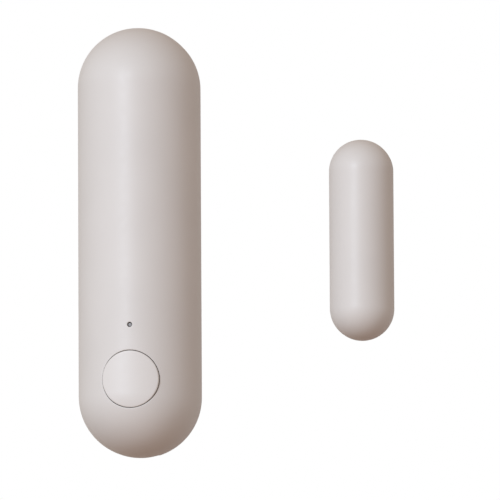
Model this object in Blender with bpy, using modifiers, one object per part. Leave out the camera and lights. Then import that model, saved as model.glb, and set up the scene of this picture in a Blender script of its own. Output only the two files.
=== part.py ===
"""Door contact sensor: a pill-shaped sensor unit and the pill-shaped magnet unit beside it.

Sizes are in millimetres, and become metres where a mesh is made. The origin is the centre of the
sensor's back face. +Z runs up its long axis, the wall is the plane Y = 0, and both units stand in
front of it, towards -Y. So a depth from the wall is a negative Y.
"""

import math

import bmesh
import bpy
from mathutils import Matrix, Vector

MM = 0.001
ROUND_STEPS = 16  # facets in each half turn of a stadium outline
CROWN_STEPS = 10  # facets from the middle of a crown to its side

# Sensor unit: a half-pill, with a straight side and then an elliptical crown.
SENSOR_RADIUS = 12.0
SENSOR_LENGTH = 85.2
SENSOR_DEPTH = 20.0
SENSOR_SIDE = 4.0  # depth of the straight side
SENSOR_WALL = 1.4
SENSOR_HALF = SENSOR_LENGTH / 2 - SENSOR_RADIUS  # from the middle to each end's centre

# Magnet unit: the same form, smaller.
MAGNET_X = 44.0
MAGNET_RADIUS = 6.3
MAGNET_LENGTH = 39.7
MAGNET_DEPTH = 11.0
MAGNET_SIDE = 2.6
MAGNET_WALL = 1.2
MAGNET_HALF = MAGNET_LENGTH / 2 - MAGNET_RADIUS

# Each cover's rim, and the back plates that lie inside it, as depths from the wall.
RIM = -0.9
PAD_FRONT = -0.75
PLATE_BACK = -0.85
PLATE_FRONT = -2.25
PLATE_RADIUS = SENSOR_RADIUS - SENSOR_WALL - 0.15
BASE_FRONT = -1.85
BASE_RADIUS = MAGNET_RADIUS - MAGNET_WALL - 0.1

# Button and indicator
BUTTON_Z = -27.9
BUTTON_HOLE = 5.75
BUTTON_RADIUS = 5.42
BUTTON_SINK = 0.08  # how far its middle lies below the cover's
BUTTON_SIDE = 10.4  # its face is a lower crown than the cover's, and so flatter
FLANGE_RADIUS = 6.45
FLANGE = (-15.3, -14.6)
INDICATOR_Z = -17.3
INDICATOR_HOLE = 0.5

# Board, and the parts that stand on it
BOARD_FRONT = -12.0
BOARD_BACK = -11.0
BOARD_RADIUS = 8.5
BOARD_TOP = 0.9
SOLDER = 0.15  # a part's height above the board's face
PART_BACK = BOARD_FRONT - SOLDER

# Chassis, battery and screws
CHASSIS_RADIUS = 9.2
CHASSIS_WALL = 1.1
CHASSIS_BACK = -5.0
CHASSIS_SKIN = -6.2
CHASSIS_RIM = -10.7
BATTERY_RADIUS = 7.8
BATTERY_Y = -10.4
BATTERY_Z = (5.0, 32.0)
BATTERY_NUB = 32.9
BAY_Z = (2.3, 34.3)
SCREW_PLACES = {"top": (0.0, 36.9), "left": (-5.9, -13.5), "right": (5.9, -13.5)}
BOSS_RADIUS = 1.7
BOSS_END = -6.4
PLATE_HOLE_Z = 36.5  # wall screws, above and below the middle
TAMPER_Z = -24.5

# Reed switch, at the side that faces the magnet
REED_X = 6.0
REED_Y = -13.4
REED_Z = (-8.0, -1.0)


def new_collection(name):
    collection = bpy.data.collections.new(name)
    bpy.context.scene.collection.children.link(collection)
    return collection


for old in list(bpy.data.objects):
    bpy.data.objects.remove(old)
PARTS = new_collection("door_contact_sensor")
CUTTERS = new_collection("cutters")


# Materials: name, then colour, roughness and metallic value


def material(name, colour, roughness, metallic=0.0):
    made = bpy.data.materials.new(name)
    made.use_nodes = True
    shader = made.node_tree.nodes["Principled BSDF"]
    shader.inputs["Base Color"].default_value = (*colour, 1.0)
    shader.inputs["Roughness"].default_value = roughness
    shader.inputs["Metallic"].default_value = metallic
    made.diffuse_color = (*colour, 1.0)
    return made


COVER_PLASTIC = ((0.76, 0.73, 0.70), 0.45)
INNER_PLASTIC = ((0.66, 0.64, 0.62), 0.55)
FOAM = ((0.16, 0.16, 0.17), 0.95)
BOARD_GREEN = ((0.02, 0.12, 0.06), 0.4)
BLACK_PLASTIC = ((0.02, 0.02, 0.02), 0.5)
STEEL = ((0.62, 0.60, 0.57), 0.3, 1.0)
NICKEL = ((0.72, 0.69, 0.63), 0.25, 1.0)
CLEAR = ((0.85, 0.87, 0.88), 0.1)
GLASS = ((0.55, 0.68, 0.58), 0.05)
LED_RESIN = ((0.85, 0.80, 0.55), 0.3)
CELL_JACKET = ((0.07, 0.09, 0.14), 0.35)
TANTALUM = ((0.55, 0.36, 0.06), 0.5)


# Builders. Each one takes millimetres and makes one object.


def finish(name, bm, at=(0.0, 0.0, 0.0)):
    """Turns a mesh that was drawn round the point "at" into an object that stands there."""
    bmesh.ops.recalc_face_normals(bm, faces=bm.faces)
    bm.transform(Matrix.Scale(MM, 4))
    mesh = bpy.data.meshes.new(name)
    bm.to_mesh(mesh)
    bm.free()
    obj = bpy.data.objects.new(name, mesh)
    obj.location = Vector(at) * MM
    PARTS.objects.link(obj)
    return obj


def box(name, x, y, z):
    """A block between the two limits that each axis has."""
    middle = [(low + high) / 2 for low, high in (x, y, z)]
    size = [high - low for low, high in (x, y, z)]
    bm = bmesh.new()
    bmesh.ops.create_cube(bm, size=1.0)
    bmesh.ops.scale(bm, vec=size, verts=bm.verts)
    return finish(name, bm, middle)


def rod(name, radius, y, at=(0.0, 0.0), back_radius=None, steps=24):
    """A cylinder along Y, or a cone if its back end has another radius."""
    bm = bmesh.new()
    bmesh.ops.create_cone(
        bm,
        cap_ends=True,
        segments=steps,
        radius1=radius,
        radius2=radius if back_radius is None else back_radius,
        depth=y[1] - y[0],
    )
    bmesh.ops.rotate(bm, verts=bm.verts, matrix=Matrix.Rotation(-math.pi / 2, 3, "X"))
    return finish(name, bm, (at[0], (y[0] + y[1]) / 2, at[1]))


def turned(name, profile, at, along_y=False, closed=False, steps=16):
    """A (radius, height) profile, listed down its outer side, turned about Z or, laid over, about Y."""
    mesh = bpy.data.meshes.new(name)
    points = [(radius * MM, 0.0, height * MM) for radius, height in profile]
    edges = [(i, i + 1) for i in range(len(points) - 1)]
    if closed:
        edges.append((len(points) - 1, 0))
    mesh.from_pydata(points, edges, [])
    obj = bpy.data.objects.new(name, mesh)
    obj.location = Vector(at) * MM
    if along_y:
        obj.rotation_euler.x = -math.pi / 2
    PARTS.objects.link(obj)
    screw = obj.modifiers.new("turn", "SCREW")
    screw.steps = steps
    screw.render_steps = steps
    screw.use_merge_vertices = True
    screw.merge_threshold = 0.00001
    return obj


def stadium(name, profile, half_length, x=0.0):
    """A (radius, y) profile carried round a stadium: straight sides, and a half turn at each end."""
    bm = bmesh.new()
    verts = [bm.verts.new((radius, y, half_length)) for radius, y in profile]
    section = verts + [bm.edges.new(pair) for pair in zip(verts, verts[1:])]
    for end in (half_length, -half_length):
        turn = bmesh.ops.spin(
            bm, geom=section, cent=(0, 0, end), axis=(0, -1, 0), angle=math.pi, steps=ROUND_STEPS
        )
        edges = [item for item in turn["geom_last"] if isinstance(item, bmesh.types.BMEdge)]
        side = bmesh.ops.extrude_edge_only(bm, edges=edges)
        verts = [item for item in side["geom"] if isinstance(item, bmesh.types.BMVert)]
        bmesh.ops.translate(bm, verts=verts, vec=(0, 0, -2 * end))
        moved = set(verts)
        section = verts + [edge for edge in bm.edges if moved.issuperset(edge.verts)]
    bmesh.ops.remove_doubles(bm, verts=bm.verts, dist=0.0001)
    return finish(name, bm, (x, 0.0, 0.0))


def strip(name, path, across, thickness):
    """Sheet metal bent along a path of (x, y, z) points, and drawn across it by a vector."""
    bm = bmesh.new()
    verts = [bm.verts.new(point) for point in path]
    edges = [bm.edges.new(pair) for pair in zip(verts, verts[1:])]
    drawn = bmesh.ops.extrude_edge_only(bm, edges=edges)
    moved = [item for item in drawn["geom"] if isinstance(item, bmesh.types.BMVert)]
    bmesh.ops.translate(bm, verts=moved, vec=across)
    obj = finish(name, bm)
    sheet = obj.modifiers.new("sheet", "SOLIDIFY")
    sheet.thickness = thickness * MM
    sheet.offset = 0.0
    sheet.use_even_offset = True
    return obj


def soften(obj, width, segments=1):
    bevel = obj.modifiers.new("soften", "BEVEL")
    bevel.width = width * MM
    bevel.segments = segments
    bevel.limit_method = "ANGLE"
    bevel.angle_limit = math.radians(40)


def combine(obj, operation, *others):
    """Joins, cuts or intersects an object with others, which become helpers."""
    for other in others:
        if other.name not in CUTTERS.objects:
            PARTS.objects.unlink(other)
            CUTTERS.objects.link(other)
        other.hide_render = True
        other.display_type = "WIRE"
        step = obj.modifiers.new(f"{operation.lower()}_{other.name}", "BOOLEAN")
        step.operation = operation
        step.solver = "EXACT"
        step.object = other
    return obj


def coat(obj, look):
    """Gives a piece a material of its own, and shades its round faces smooth."""
    obj.data.materials.append(material(obj.name, *look))
    if obj.data.polygons:
        obj.data.shade_smooth()
        obj.data.set_sharp_from_angle(angle=math.radians(35))
    return obj


def crown(radius, side, depth, inset=0.0):
    """A half-pill's section from the middle of its crown to the foot of it, as (radius, y)."""
    points = []
    for i in range(CROWN_STEPS + 1):
        angle = math.pi / 2 * i / CROWN_STEPS
        y = -side - (depth - side - inset) * math.cos(angle)
        points.append(((radius - inset) * math.sin(angle), y))
    return points


def slab(radius, back, front):
    """The section of a flat plate."""
    return [(0.0, front), (radius, front), (radius, back), (0.0, back)]


# Sensor unit: what stays on the wall


def make_sensor_pad():
    pad = stadium("sensor_adhesive_pad", slab(10.0, 0.0, PAD_FRONT), SENSOR_HALF)
    for sign in (1, -1):
        hole = rod(f"pad_hole_{sign}", 3.5, (-2.0, 1.0), (0.0, sign * PLATE_HOLE_Z))
        combine(pad, "DIFFERENCE", hole)
    coat(pad, FOAM)


def make_mounting_plate():
    """A flange with a rim that snaps into the cover, and countersunk holes for wall screws."""
    rim_outer, rim_inner, rim_front = 10.35, 9.35, -4.6
    section = [
        (0.0, PLATE_FRONT),
        (rim_inner, PLATE_FRONT),
        (rim_inner, rim_front),
        (rim_outer, rim_front),
        (rim_outer, PLATE_FRONT),
        (PLATE_RADIUS, PLATE_FRONT),
        (PLATE_RADIUS, PLATE_BACK),
        (0.0, PLATE_BACK),
    ]
    plate = stadium("mounting_plate", section, SENSOR_HALF)
    for side in (1, -1):
        for level in (18.0, -18.0):
            where = (side * (rim_outer - 0.1), -4.1, level)
            ridge_section = [(0.0, 3.5), (0.25, 3.25), (0.25, -3.25), (0.0, -3.5)]
            ridge = turned(f"snap_ridge_{side}_{level:.0f}", ridge_section, where, steps=12)
            combine(plate, "UNION", ridge)
    post = rod("tamper_post", 1.6, (-3.1, -1.5), (0.0, TAMPER_Z), steps=16)
    combine(plate, "UNION", post)
    for sign in (1, -1):
        place = (0.0, sign * PLATE_HOLE_Z)
        hole = rod(f"wall_screw_hole_{sign}", 1.8, (-3.0, 0.0), place)
        sink = rod(f"wall_screw_sink_{sign}", 3.2, (PLATE_FRONT - 0.05, -1.3), place, 1.7)
        combine(plate, "DIFFERENCE", hole, sink)
    coat(plate, COVER_PLASTIC)


# Sensor unit: the cover and what shows on it


def make_housing_shell():
    outer = crown(SENSOR_RADIUS, SENSOR_SIDE, SENSOR_DEPTH)
    inner = crown(SENSOR_RADIUS, SENSOR_SIDE, SENSOR_DEPTH, SENSOR_WALL)
    rim = [(SENSOR_RADIUS, RIM), (SENSOR_RADIUS - SENSOR_WALL, RIM)]
    shell = stadium("housing_shell", outer + rim + inner[::-1], SENSOR_HALF)

    # Bosses and collars start inside the cover's wall, so a mid-wall solid trims their front ends.
    middle = crown(SENSOR_RADIUS, SENSOR_SIDE, SENSOR_DEPTH, SENSOR_WALL / 2)
    mid_wall = stadium("mid_wall", middle + [(0.0, -SENSOR_SIDE)], SENSOR_HALF)
    raised = [
        rod("button_collar", 6.9, (-21.0, -15.6), (0.0, BUTTON_Z), steps=40),
        rod("indicator_collar", 1.6, (-21.0, -16.2), (0.0, INDICATOR_Z), steps=16),
    ]
    for name, place in SCREW_PLACES.items():
        raised.append(rod(f"boss_{name}", BOSS_RADIUS, (-21.0, BOSS_END), place, steps=20))
    for piece in raised:
        combine(piece, "INTERSECT", mid_wall)
    combine(shell, "UNION", *raised)

    holes = [
        rod("button_hole", BUTTON_HOLE, (-22.0, -14.0), (0.0, BUTTON_Z), steps=40),
        rod("indicator_hole", INDICATOR_HOLE, (-22.0, -15.0), (0.0, INDICATOR_Z), steps=16),
        box("pry_slot", (-3.5, 3.5), (RIM - 1.4, 0.0), (-SENSOR_LENGTH / 2 - 1.0, -40.0)),
    ]
    for name, place in SCREW_PLACES.items():
        holes.append(rod(f"pilot_{name}", 1.05, (-12.5, -6.0), place, steps=12))
    combine(shell, "DIFFERENCE", *holes)
    coat(shell, COVER_PLASTIC)


def make_button_cap():
    """Its face is a flatter crown than the cover's, and a flange behind the collar keeps it in."""
    cap = rod("button_cap", BUTTON_RADIUS, (-21.0, FLANGE[0]), (0.0, BUTTON_Z), steps=40)
    face = crown(SENSOR_RADIUS, BUTTON_SIDE, SENSOR_DEPTH, BUTTON_SINK)
    combine(cap, "INTERSECT", stadium("button_face", face + [(0.0, -BUTTON_SIDE)], SENSOR_HALF))
    flange_span = (FLANGE[0] - 0.4, FLANGE[1])
    flange = rod("button_flange", FLANGE_RADIUS, FLANGE, (0.0, BUTTON_Z), steps=40)
    neck = rod("button_neck", BUTTON_RADIUS - 0.3, flange_span, (0.0, BUTTON_Z), steps=40)
    combine(cap, "UNION", flange, neck)
    hollow = rod("button_hollow", 4.2, (-17.4, -14.0), (0.0, BUTTON_Z))
    post = rod("button_post", 1.2, (-17.8, FLANGE[1]), (0.0, BUTTON_Z), steps=16)
    combine(cap, "DIFFERENCE", hollow)
    combine(cap, "UNION", post)
    coat(cap, COVER_PLASTIC)


def make_light_pipe():
    """A thin stem behind the indicator hole, with a wider head over the indicator."""
    section = [(0.0, -13.9), (1.2, -13.9), (1.2, -15.6), (0.38, -16.0), (0.38, -19.7), (0.0, -19.7)]
    coat(turned("light_pipe", section, (0.0, 0.0, INDICATOR_Z), along_y=True), CLEAR)


# Sensor unit: the board and its parts


def make_circuit_board():
    board = stadium("circuit_board", slab(BOARD_RADIUS, BOARD_BACK, BOARD_FRONT), SENSOR_HALF)
    cuts = [
        box("board_end", (-15.0, 15.0), (-20.0, 0.0), (BOARD_TOP, 60.0)),
        box("link_notch", (-10.0, -7.95), (-20.0, 0.0), (-1.7, 5.0)),
    ]
    for side in (1, -1):
        x, z = SCREW_PLACES["right"]
        outward = (side * x, side * (BOARD_RADIUS + 1.0))
        clear = BOSS_RADIUS + 0.3
        cuts.append(rod(f"boss_notch_{side}", clear, (-20.0, 0.0), (side * x, z)))
        cuts.append(
            box(f"boss_slot_{side}", sorted(outward), (-20.1, 0.1), (z - clear + 0.05, z + clear - 0.05))
        )
    combine(board, "DIFFERENCE", *cuts)
    coat(board, BOARD_GREEN)


def make_board_part(name, middle, width, height, thickness, look, edge=0.12, back=PART_BACK):
    """A low block on the board's front: its middle (x, z), its size and its chamfer."""
    x, z = middle
    spans = [(x - width / 2, x + width / 2), (back - thickness, back), (z - height / 2, z + height / 2)]
    block = box(name, *spans)
    soften(block, edge)
    coat(block, look)
    return block


def make_reed_switch():
    """A glass tube on the magnet's side of the board, and the two blades that it holds apart."""
    low, high = REED_Z
    neck, wall = 0.42, 0.28
    radius = 0.98
    section = [
        (neck, high),
        (0.75, high - 0.05),
        (radius, high - 0.4),
        (radius, low + 0.4),
        (0.75, low + 0.05),
        (neck, low),
        (neck, low + 0.4),
        (radius - wall, low + 0.8),
        (radius - wall, high - 0.8),
        (neck, high - 0.4),
    ]
    coat(turned("reed_glass", section, (REED_X, REED_Y, 0.0), closed=True), GLASS)
    middle = (low + high) / 2
    for name, outer, direction, lift in (
        ("reed_blade_upper", high + 1.3, 1, -0.1),
        ("reed_blade_lower", low - 1.3, -1, 0.1),
    ):
        x = REED_X - 0.25
        y = REED_Y + lift
        path = [(x, PART_BACK - 0.1, outer), (x, y, outer), (x, y, middle - direction * 0.4)]
        coat(strip(name, path, (0.5, 0.0, 0.0), 0.12), STEEL)


def make_antenna():
    """A flat meander at the board's lower end."""
    pitch, low, high = 1.2, -37.3, -34.9
    points = [(-3.5 * pitch, -33.6)]
    for i in range(8):
        x = (i - 3.5) * pitch
        ends = (high, low) if i % 2 == 0 else (low, high)
        points += [(x, z) for z in ends]
    path = [(x, PART_BACK, z) for x, z in points]
    coat(strip("antenna", path, (0.0, -0.3, 0.0), 0.5), NICKEL)


def make_switches():
    """The tact switch behind the button, and the tamper switch on the board's back."""
    tact = make_board_part(
        "tact_switch_body", (0.0, BUTTON_Z), 4.5, 4.5, 1.45, BLACK_PLASTIC, edge=0.15
    )
    combine(tact, "DIFFERENCE", rod("tact_bore", 1.25, (-14.5, -12.45), (0.0, BUTTON_Z)))
    stem = [(0.0, -12.9), (1.1, -12.9), (1.1, -14.15), (0.95, -14.3), (0.0, -14.3)]
    plunger = turned("tact_switch_plunger", stem, (0.0, 0.0, BUTTON_Z), along_y=True)
    coat(plunger, BLACK_PLASTIC)

    span = (TAMPER_Z - 2.0, TAMPER_Z + 2.0)
    tamper = box("tamper_switch_body", (-2.0, 2.0), (BOARD_BACK + SOLDER, -8.4), span)
    soften(tamper, 0.15)
    combine(tamper, "DIFFERENCE", rod("tamper_bore", 1.15, (-10.5, -8.0), (0.0, TAMPER_Z)))
    coat(tamper, BLACK_PLASTIC)
    pin = [(0.0, -3.4), (0.6, -3.45), (1.0, -3.9), (1.0, -9.7), (0.0, -9.7)]
    coat(turned("tamper_plunger", pin, (0.0, 0.0, TAMPER_Z), along_y=True), BLACK_PLASTIC)


# Sensor unit: the chassis, the battery and its contacts


def make_chassis():
    """A tray that covers the board's back. The battery's bay is open to the wall."""
    inner = CHASSIS_RADIUS - CHASSIS_WALL
    section = [
        (0.0, CHASSIS_SKIN),
        (inner, CHASSIS_SKIN),
        (inner, CHASSIS_RIM),
        (CHASSIS_RADIUS, CHASSIS_RIM),
        (CHASSIS_RADIUS, CHASSIS_BACK),
        (0.0, CHASSIS_BACK),
    ]
    chassis = stadium("chassis", section, SENSOR_HALF)
    bay = box("bay_opening", (-inner, inner), (-8.0, 0.0), BAY_Z)
    low_wall = box("bay_wall_low", (-7.2, 7.2), (-13.9, CHASSIS_BACK - 0.2), (1.3, BAY_Z[0]))
    high_wall = box("bay_wall_high", (-5.0, 5.0), (-13.0, CHASSIS_BACK - 0.2), (BAY_Z[1], 35.1))
    combine(chassis, "DIFFERENCE", bay)
    combine(chassis, "UNION", low_wall, high_wall)
    for name, place in SCREW_PLACES.items():
        combine(chassis, "DIFFERENCE", rod(f"screw_hole_{name}", 1.2, (-9.0, -4.0), place, steps=16))
    tamper_hole = rod("tamper_hole", 1.4, (-9.0, -4.0), (0.0, TAMPER_Z), steps=16)
    combine(chassis, "DIFFERENCE", tamper_hole)
    coat(chassis, INNER_PLASTIC)


def make_screws():
    """Cross-head screws through the chassis into the cover's bosses."""
    head_back, head_front, tip = -3.8, -4.9, -11.0
    section = [
        (0.0, head_back),
        (1.3, head_back - 0.1),
        (1.9, head_back - 0.5),
        (1.9, head_front),
        (0.95, head_front),
        (0.95, tip + 0.8),
        (0.3, tip),
        (0.0, tip),
    ]
    for name, (x, z) in SCREW_PLACES.items():
        screw = turned(f"chassis_screw_{name}", section, (x, 0.0, z), along_y=True)
        y = (head_back - 0.7, head_back + 0.5)
        across = box(f"cross_slot_x_{name}", (x - 1.1, x + 1.1), y, (z - 0.17, z + 0.17))
        upright = box(f"cross_slot_z_{name}", (x - 0.17, x + 0.17), y, (z - 1.1, z + 1.1))
        combine(screw, "DIFFERENCE", across, upright)
        coat(screw, STEEL)


def make_battery():
    low, high = BATTERY_Z
    nub = 3.3
    section = [
        (0.0, BATTERY_NUB),
        (nub - 0.3, BATTERY_NUB),
        (nub, BATTERY_NUB - 0.3),
        (nub, high - 0.2),
        (BATTERY_RADIUS - 0.9, high - 0.2),
        (BATTERY_RADIUS - 0.6, high),
        (BATTERY_RADIUS - 0.2, high - 0.1),
        (BATTERY_RADIUS, high - 0.5),
        (BATTERY_RADIUS, low + 0.5),
        (BATTERY_RADIUS - 0.2, low + 0.1),
        (BATTERY_RADIUS - 0.6, low),
        (0.0, low),
    ]
    coat(turned("battery", section, (0.0, BATTERY_Y, 0.0), steps=32), CELL_JACKET)


def make_positive_contact():
    """A leaf that bows towards the battery's raised end."""
    foot, touch = BAY_Z[1] - 0.2, BATTERY_NUB + 0.35
    profile = [(-6.9, foot), (-8.3, foot), (-9.8, touch), (-11.0, touch), (-12.5, foot), (-12.9, foot)]
    path = [(-2.5, y, z) for y, z in profile]
    coat(strip("battery_contact_positive", path, (5.0, 0.0, 0.0), 0.2), NICKEL)


def make_negative_contact():
    """A conical coil under the battery, whose wire runs over the bay's wall to the board."""
    wire, turns, steps = 0.3, 2.5, 14
    wide, narrow, low, high = 3.0, 1.8, 2.8, 4.5
    count = round(turns * steps)
    points = []
    for i in range(count + 1):
        share = i / count
        angle = -math.pi / 2 + 2 * math.pi * turns * share
        radius = wide + (narrow - wide) * share
        height = low + (high - low) * share
        points.append((radius * math.cos(angle), BATTERY_Y + radius * math.sin(angle), height))
    leg = [(0.0, PART_BACK - 0.35, 0.2), (0.0, -14.35, 0.5), (0.0, -14.35, 2.5)]
    path = leg + points
    curve = bpy.data.curves.new("battery_contact_negative", "CURVE")
    curve.dimensions = "3D"
    curve.bevel_depth = wire * MM
    curve.bevel_resolution = 2
    curve.use_fill_caps = True
    spline = curve.splines.new("POLY")
    spline.points.add(len(path) - 1)
    for point, place in zip(spline.points, path):
        point.co = (*(value * MM for value in place), 1.0)
    obj = bpy.data.objects.new("battery_contact_negative", curve)
    PARTS.objects.link(obj)
    curve.materials.append(material(obj.name, *NICKEL))


def make_link_strip():
    """It brings the positive contact down the battery's side, into a notch in the board."""
    path = [(-2.8, 33.9), (-6.6, 33.9), (-8.35, 32.2), (-8.35, -1.3)]
    path = [(x, -12.3, z) for x, z in path]
    coat(strip("battery_link_strip", path, (0.0, 1.4, 0.0), 0.2), NICKEL)


# Magnet unit


def make_magnet_pad():
    coat(stadium("magnet_adhesive_pad", slab(4.9, 0.0, PAD_FRONT), MAGNET_HALF, MAGNET_X), FOAM)


def make_magnet_base():
    """A flange with a snap rim, and a cradle that holds the bar by its ends and sides."""
    rim_outer, rim_inner, rim_front = 4.95, 4.2, -4.0
    section = [
        (0.0, BASE_FRONT),
        (rim_inner, BASE_FRONT),
        (rim_inner, rim_front),
        (rim_outer, rim_front),
        (rim_outer, BASE_FRONT),
        (BASE_RADIUS, BASE_FRONT),
        (BASE_RADIUS, PLATE_BACK),
        (0.0, PLATE_BACK),
    ]
    base = stadium("magnet_base", section, MAGNET_HALF, MAGNET_X)
    sunk = BASE_FRONT + 0.3
    ribs = []
    for end in (1, -1):
        span = sorted((end * 13.3, end * 14.3))
        ribs.append(box(f"end_stop_{end}", (MAGNET_X - 2.4, MAGNET_X + 2.4), (-5.6, sunk), span))
        for level in (-7.5, 7.5):
            x = sorted((MAGNET_X + end * 2.85, MAGNET_X + end * 3.6))
            ribs.append(box(f"side_rib_{end}_{level}", x, (-5.0, sunk), (level - 2.0, level + 2.0)))
    ribs.append(box("rest_rib", (MAGNET_X - 0.6, MAGNET_X + 0.6), (-2.85, sunk), (-11.0, 11.0)))
    combine(base, "UNION", *ribs)
    coat(base, COVER_PLASTIC)


def make_bar_magnet():
    bar = box("bar_magnet", (MAGNET_X - 2.7, MAGNET_X + 2.7), (-8.0, -3.0), (-13.0, 13.0))
    soften(bar, 0.3, 2)
    coat(bar, NICKEL)


def make_magnet_foam():
    foam = box("magnet_foam", (MAGNET_X - 1.9, MAGNET_X + 1.9), (-9.0, -8.15), (-10.0, 10.0))
    soften(foam, 0.15)
    coat(foam, FOAM)


def make_magnet_shell():
    outer = crown(MAGNET_RADIUS, MAGNET_SIDE, MAGNET_DEPTH)
    inner = crown(MAGNET_RADIUS, MAGNET_SIDE, MAGNET_DEPTH, MAGNET_WALL)
    rim = [(MAGNET_RADIUS, RIM), (MAGNET_RADIUS - MAGNET_WALL, RIM)]
    shell = stadium("magnet_shell", outer + rim + inner[::-1], MAGNET_HALF, MAGNET_X)
    coat(shell, COVER_PLASTIC)


make_sensor_pad()
make_mounting_plate()
make_housing_shell()
make_button_cap()
make_light_pipe()

make_circuit_board()
make_board_part("radio_board", (-1.8, -4.95), 10.4, 8.9, 0.8, BOARD_GREEN, edge=0.05)
make_board_part(
    "radio_shield_can", (-2.05, -5.75), 9.1, 6.1, 1.5, STEEL, edge=0.3, back=PART_BACK - 0.95
)
make_board_part("microcontroller", (0.0, -12.6), 4.0, 4.0, 0.9, BLACK_PLASTIC)
make_board_part("crystal", (-4.3, -17.7), 3.2, 2.5, 0.8, NICKEL)
make_board_part("bulk_capacitor", (4.3, -17.9), 3.2, 1.8, 1.7, TANTALUM)
make_board_part("indicator_led", (0.0, INDICATOR_Z), 1.6, 0.9, 0.7, LED_RESIN, edge=0.1)
make_reed_switch()
make_antenna()
make_switches()

make_chassis()
make_screws()
make_battery()
make_positive_contact()
make_negative_contact()
make_link_strip()

make_magnet_pad()
make_magnet_base()
make_bar_magnet()
make_magnet_foam()
make_magnet_shell()
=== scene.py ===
import math
from collections import namedtuple

import bmesh
import bpy
from mathutils import Matrix, Quaternion, Vector
from mathutils.geometry import delaunay_2d_cdt


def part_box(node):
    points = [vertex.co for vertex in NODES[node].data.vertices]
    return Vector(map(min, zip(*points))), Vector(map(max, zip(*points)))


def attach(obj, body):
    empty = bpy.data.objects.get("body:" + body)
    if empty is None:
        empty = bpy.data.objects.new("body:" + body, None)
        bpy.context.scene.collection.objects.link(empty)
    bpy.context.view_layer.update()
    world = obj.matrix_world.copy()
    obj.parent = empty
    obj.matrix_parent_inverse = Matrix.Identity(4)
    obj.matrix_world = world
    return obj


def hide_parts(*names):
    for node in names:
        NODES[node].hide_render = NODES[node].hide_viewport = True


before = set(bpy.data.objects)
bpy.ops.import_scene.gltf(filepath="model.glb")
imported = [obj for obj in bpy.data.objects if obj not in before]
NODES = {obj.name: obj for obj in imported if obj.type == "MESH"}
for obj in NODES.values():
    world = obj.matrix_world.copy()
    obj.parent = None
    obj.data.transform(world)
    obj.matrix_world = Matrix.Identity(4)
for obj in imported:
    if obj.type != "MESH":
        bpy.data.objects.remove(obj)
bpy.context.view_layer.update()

# The looks of a pill-shaped door contact sensor and its magnet unit. Sizes are in millimetres, in
# the frame of the CAD part: +Z up, the wall at Y = 0, and both units in front of it, towards -Y.

MM = 0.001


# ---------------------------------------------------------------- sizes that the frame gives

Pill = namedtuple("Pill", "x radius half side depth rim wall")
Hole = namedtuple("Hole", "x z radius collar end fillet steps")


def corners(node):
    """The lowest and highest corner of a CAD node, in millimetres."""
    low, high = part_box(node)
    return low / MM, high / MM


def middle(node):
    """The middle of a CAD node's box, in millimetres."""
    low, high = corners(node)
    return (low + high) / 2


def pill_of(node, side, wall):
    """A cover's form: a straight side of depth "side", then a crown, swept round a stadium."""
    low, high = corners(node)
    radius = (high.x - low.x) / 2
    half = (high.z - low.z) / 2 - radius
    return Pill((low.x + high.x) / 2, radius, half, side, -low.y, high.y, wall)


SENSOR = pill_of("housing_shell", side=4.0, wall=1.4)
MAGNET = pill_of("magnet_shell", side=2.6, wall=1.2)

BUTTON = middle("button_cap")
INDICATOR = middle("light_pipe")
SCREWS = {place: middle(f"chassis_screw_{place}") for place in ("top", "left", "right")}
TAMPER = middle("tamper_plunger")


# ---------------------------------------------------------------- sizes chosen here

PLATE_HOLE_Z = 36.5  # the wall screws' holes, above and below the middle

BUTTON_HOLE = 5.66
BUTTON_RADIUS = 5.54
BUTTON_COLLAR = 6.9
BUTTON_COLLAR_END = -15.6

INDICATOR_HOLE = 0.5
INDICATOR_COLLAR = 1.6
INDICATOR_COLLAR_END = -16.2

BOSS_RADIUS = 1.7
BOSS_ROOT = 0.4
BOSS_END = -6.4
PILOT_RADIUS = 1.05
PILOT_END = -12.5

SHEET_METAL = 0.2

END_STEPS = 56  # facets in each half turn of an outline
SIDE_STEPS = 36
CROWN_LEVELS = 24
BOSS_STEPS = 32
BUTTON_STEPS = 128
SHARP = math.radians(32)  # edges that turn further than this stay sharp in the shading


# ---------------------------------------------------------------- mesh helpers


def finish(name, bm, body, *replaced):
    """Makes the mesh an object that rides on a CAD body and stands for CAD nodes.

    Cutters and additions have no body, because a Boolean uses them up.
    """
    bmesh.ops.remove_doubles(bm, verts=bm.verts, dist=0.00002)
    bmesh.ops.recalc_face_normals(bm, faces=bm.faces)
    bm.transform(Matrix.Scale(MM, 4))
    mesh = bpy.data.meshes.new(name)
    bm.to_mesh(mesh)
    bm.free()
    obj = bpy.data.objects.new(name, mesh)
    bpy.context.scene.collection.objects.link(obj)
    mesh.shade_smooth()
    mesh.set_sharp_from_angle(angle=SHARP)
    if body:
        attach(obj, body)
    if replaced:
        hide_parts(*replaced)
    return obj


def bridge(bm, first, second):
    """A band of quads between two closed loops with the same number of points."""
    count = len(first)
    for i in range(count):
        j = (i + 1) % count
        bm.faces.new((first[i], first[j], second[j], second[i]))


def ladder(bm, loops):
    """Bands of quads from each closed loop to the next."""
    for first, second in zip(loops, loops[1:]):
        bridge(bm, first, second)


def close_loop(bm, loop, point):
    """A fan from a loop to one point."""
    tip = bm.verts.new(point)
    for i, vert in enumerate(loop):
        bm.faces.new((vert, loop[(i + 1) % len(loop)], tip))


def ring(bm, centre, radius, depth, steps):
    """A circle round (x, z). Its depth is a number, or a function of x and z."""
    verts = []
    for i in range(steps):
        angle = 2 * math.pi * i / steps
        x = centre[0] + radius * math.cos(angle)
        z = centre[1] + radius * math.sin(angle)
        y = depth(x, z) if callable(depth) else depth
        verts.append(bm.verts.new((x, y, z)))
    return verts


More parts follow.
